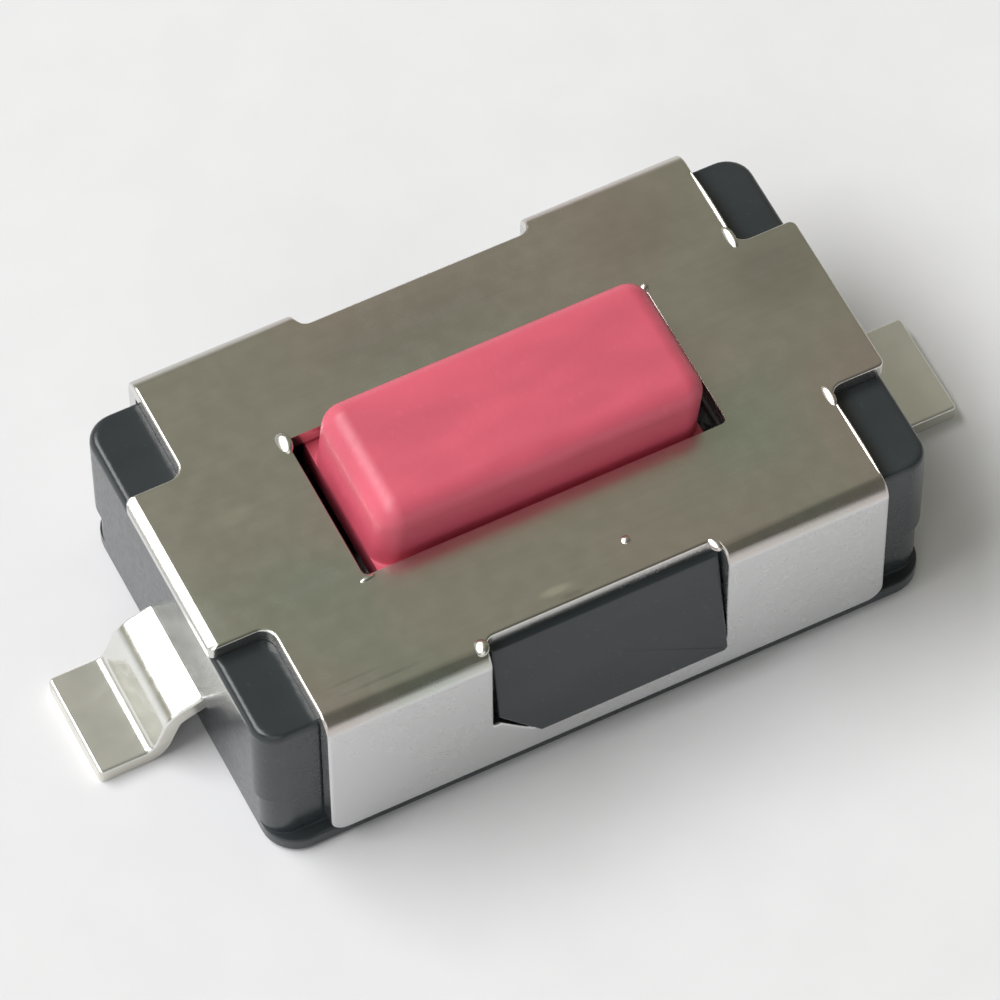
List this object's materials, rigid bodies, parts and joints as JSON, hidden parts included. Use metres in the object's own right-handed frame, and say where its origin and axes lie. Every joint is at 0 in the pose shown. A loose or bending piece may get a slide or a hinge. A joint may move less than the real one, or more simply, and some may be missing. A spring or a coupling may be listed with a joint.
{
  "type": "tactile push button switch",
  "caption": "Surface mount tactile switch: folded metal cover, oblong push button that travels down, snap dome and two gull wing leads.",
  "frame": {"origin": "middle of the body on the circuit board's surface, in the plane of the solder feet's undersides", "axes": "+X along the body towards the centre contact's lead, +Z away from the board, out of the button"},
  "size_m": [0.0078, 0.0038, 0.0023],
  "materials": {
    "black_plastic": "black moulded resin, satin to glossy",
    "cover_metal": "plated sheet metal, satin, with a slightly clouded top face",
    "red_plastic": "red moulded resin, soft satin",
    "spring_steel": "bright spring steel",
    "plated_metal": "tin plated, smooth"
  },
  "bodies": {
    "base": {"housing": "black_plastic", "cover": "cover_metal", "snap_dome": "spring_steel", "side_terminal": "plated_metal", "centre_terminal": "plated_metal"},
    "push_button": {"button": "red_plastic"}
  },
  "joints": [
    {"name": "button_press", "type": "slide", "parent": "base", "child": "push_button", "axis": [0, 0, -1], "range_m": [0, 0.00025], "stiffness_N_per_m": 6400, "deforming": ["snap_dome"]}
  ]
}
